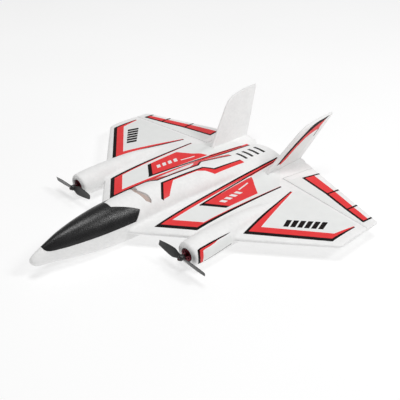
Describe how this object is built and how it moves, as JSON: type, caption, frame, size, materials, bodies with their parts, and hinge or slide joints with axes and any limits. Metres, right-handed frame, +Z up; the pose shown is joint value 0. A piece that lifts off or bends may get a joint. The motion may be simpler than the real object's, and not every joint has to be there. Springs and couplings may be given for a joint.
{
  "type": "rc flying wing",
  "caption": "Foam delta-wing radio-controlled model aircraft with propeller nacelles on the leading edge, canted fins, hinged elevons and a lift-off canopy hatch.",
  "frame": {"origin": "on the ground under the middle of the model's bounding box, with the belly standing on Z = 0", "axes": "+Z up, nose towards -Y, port wing towards +X"},
  "size_m": [0.342, 0.3467, 0.0693],
  "materials": {
    "foam": "matte",
    "canopy": "matte",
    "black_plastic": "satin",
    "wine_anodised": "gloss",
    "steel": "satin",
    "winding": "gloss",
    "carbon": "satin",
    "board": "satin",
    "wrap": "satin",
    "hook_and_loop": "matte",
    "wire": "satin",
    "connector": "satin"
  },
  "bodies": {
    "airframe": {"battery_connector": "connector", "battery_lead": "wire", "battery_pack": "wrap", "battery_pad": "hook_and_loop", "belly_tub": "foam", "carbon_spar": "carbon", "deck_magnet_port": "steel", "deck_magnet_starboard": "steel", "fin_port": "foam", "fin_starboard": "foam", "motor_lead_port": "wire", "motor_lead_starboard": "wire", "motor_mount_port": "black_plastic", "motor_mount_starboard": "black_plastic", "motor_screw_port_1": "steel", "motor_screw_port_2": "steel", "motor_screw_starboard_1": "steel", "motor_screw_starboard_2": "steel", "motor_stator_port": "winding", "motor_stator_starboard": "winding", "nacelle_cover_port": "foam", "nacelle_cover_starboard": "foam", "receiver_antenna": "wire", "receiver_board": "board", "receiver_lead": "wire", "receiver_pad": "hook_and_loop", "servo_lead_port": "wire", "servo_lead_starboard": "wire", "servo_port": "black_plastic", "servo_starboard": "black_plastic", "wing_and_deck_moulding": "foam"},
    "canopy": {"canopy_hatch": "canopy", "hatch_magnet_port": "steel", "hatch_magnet_starboard": "steel"},
    "elevon_port": {"elevon_port": "foam", "control_horn_port": "black_plastic"},
    "servo_arm_port": {"servo_arm_port": "connector", "servo_screw_port": "steel"},
    "pushrod_port": {"pushrod_port": "steel"},
    "propeller_port": {"propeller_port": "black_plastic", "prop_collar_port": "steel", "motor_bell_port": "wine_anodised"},
    "elevon_starboard": {"elevon_starboard": "foam", "control_horn_starboard": "black_plastic"},
    "servo_arm_starboard": {"servo_arm_starboard": "connector", "servo_screw_starboard": "steel"},
    "pushrod_starboard": {"pushrod_starboard": "steel"},
    "propeller_starboard": {"propeller_starboard": "black_plastic", "prop_collar_starboard": "steel", "motor_bell_starboard": "wine_anodised"}
  },
  "joints": [
    {"name": "elevon_hinge_port", "type": "hinge", "parent": "airframe", "child": "elevon_port", "pos_m": [0.0573, 0.094, 0.0153], "axis": [0.9946, -0.1042, 0], "range_deg": [-25, 25]},
    {"name": "servo_shaft_port", "type": "hinge", "parent": "airframe", "child": "servo_arm_port", "pos_m": [0.07146, 0.05833, 0.0125], "axis": [0.9946, -0.1042, 0], "range_deg": [-25, 25]},
    {"name": "pushrod_pivot_port", "type": "hinge", "parent": "elevon_port", "child": "pushrod_port", "pos_m": [0.075, 0.09214, 0.0073], "axis": [0.9946, -0.1042, 0], "range_deg": [-25, 25]},
    {"name": "propeller_shaft_port", "type": "hinge", "parent": "airframe", "child": "propeller_port", "pos_m": [0.0833, -0.066, 0.0145], "axis": [0, -1, 0], "continuous": true},
    {"name": "elevon_hinge_starboard", "type": "hinge", "parent": "airframe", "child": "elevon_starboard", "pos_m": [-0.0573, 0.094, 0.0153], "axis": [0.9946, 0.1042, 0], "range_deg": [-25, 25]},
    {"name": "servo_shaft_starboard", "type": "hinge", "parent": "airframe", "child": "servo_arm_starboard", "pos_m": [-0.07146, 0.05833, 0.0125], "axis": [0.9946, 0.1042, 0], "range_deg": [-25, 25]},
    {"name": "pushrod_pivot_starboard", "type": "hinge", "parent": "elevon_starboard", "child": "pushrod_starboard", "pos_m": [-0.075, 0.09214, 0.0073], "axis": [0.9946, 0.1042, 0], "range_deg": [-25, 25]},
    {"name": "propeller_shaft_starboard", "type": "hinge", "parent": "airframe", "child": "propeller_starboard", "pos_m": [-0.0833, -0.066, 0.0145], "axis": [0, -1, 0], "continuous": true},
    {"name": "canopy_lift_off", "type": "slide", "parent": "airframe", "child": "canopy", "axis": [0, 0, 1], "range_m": [0, 0.06]}
  ],
  "couplings": [
    {"joint": "servo_shaft_port", "follows": "elevon_hinge_port", "ratio": 1},
    {"joint": "pushrod_pivot_port", "follows": "elevon_hinge_port", "ratio": -1},
    {"joint": "servo_shaft_starboard", "follows": "elevon_hinge_starboard", "ratio": 1},
    {"joint": "pushrod_pivot_starboard", "follows": "elevon_hinge_starboard", "ratio": -1}
  ]
}
